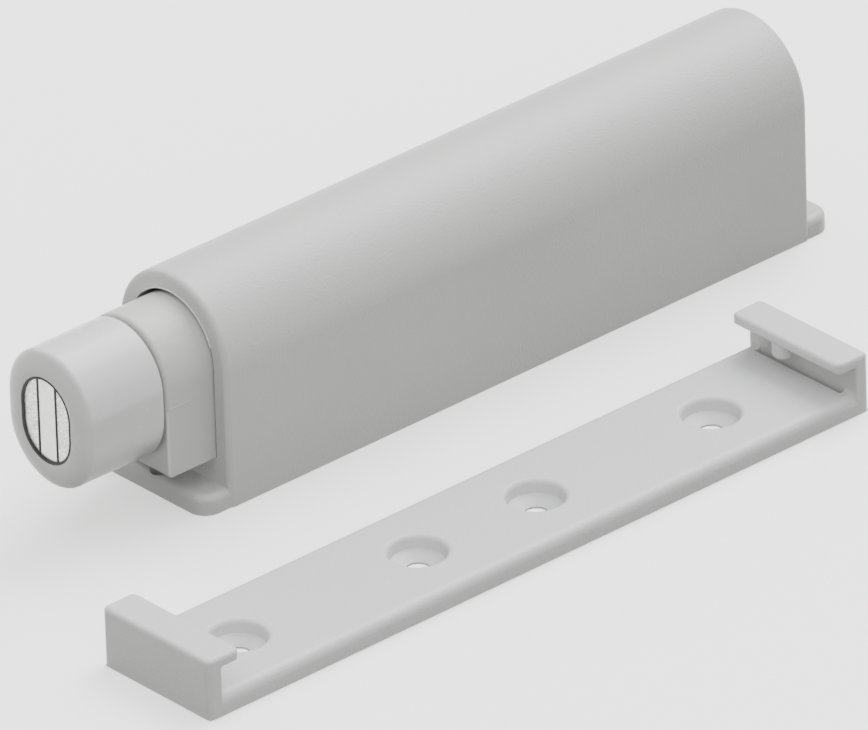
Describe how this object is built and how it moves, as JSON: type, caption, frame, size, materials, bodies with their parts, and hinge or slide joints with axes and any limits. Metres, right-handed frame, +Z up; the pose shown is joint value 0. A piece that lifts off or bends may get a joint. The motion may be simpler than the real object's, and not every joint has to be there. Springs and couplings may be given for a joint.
{
  "type": "push to open catch",
  "caption": "Sprung push catch with a magnetic head in a long arched housing, and the clip-on mounting plate that it snaps onto, lying beside it.",
  "frame": {"origin": "middle of the bounding box's floor, under the catch and its mounting plate", "axes": "+X runs from the magnetic head to the rear of the housing, +Z points up from the base, and the mounting plate lies on the -Y side"},
  "size_m": [0.1132, 0.047, 0.0237],
  "materials": {
    "case_plastic": "satin",
    "plate_plastic": "satin",
    "plunger_plastic": "satin",
    "head_plastic": "satin",
    "inner_plastic": "satin",
    "magnet_face": "satin",
    "pole_steel": "satin",
    "inner_steel": "satin",
    "spring_steel": "satin",
    "insert_brass": "satin",
    "ring_rubber": "matte"
  },
  "bodies": {
    "case": {"housing": "case_plastic", "bottom_cover": "case_plastic", "rear_plug": "case_plastic", "guide_rod": "inner_plastic", "return_spring": "spring_steel", "stop_bumper": "ring_rubber", "follower_spring": "spring_steel", "mounting_plate": "plate_plastic"},
    "slide": {"plunger": "plunger_plastic", "thread_insert": "insert_brass", "friction_ring": "ring_rubber", "spring_washer": "inner_steel"},
    "keeper": {"keeper_plate": "inner_steel"},
    "head": {"head_cap": "head_plastic", "adjusting_stem": "inner_plastic", "magnet": "magnet_face", "pole_plate_left": "pole_steel", "pole_plate_right": "pole_steel"},
    "follower": {"follower_pin": "spring_steel"}
  },
  "joints": [
    {"name": "plunger_slide", "type": "slide", "parent": "case", "child": "slide", "axis": [-1, 0, 0], "range_m": [-0.003, 0.0366], "deforming": ["return_spring"]},
    {"name": "head_adjust", "type": "slide", "parent": "slide", "child": "keeper", "axis": [-1, 0, 0], "range_m": [-0.0003, 0.003]},
    {"name": "head_turn", "type": "hinge", "parent": "keeper", "child": "head", "pos_m": [-0.03877, 0.0153, 0.0136], "axis": [-1, 0, 0], "range_deg": [-55, 541]},
    {"name": "follower_swing", "type": "hinge", "parent": "case", "child": "follower", "pos_m": [0.01323, 0.0153, 0.0042], "axis": [0, 0, -1], "range_deg": [0, 9.2]}
  ],
  "couplings": [
    {"joint": "head_turn", "follows": "head_adjust", "rad_per_m": 3141.6}
  ]
}
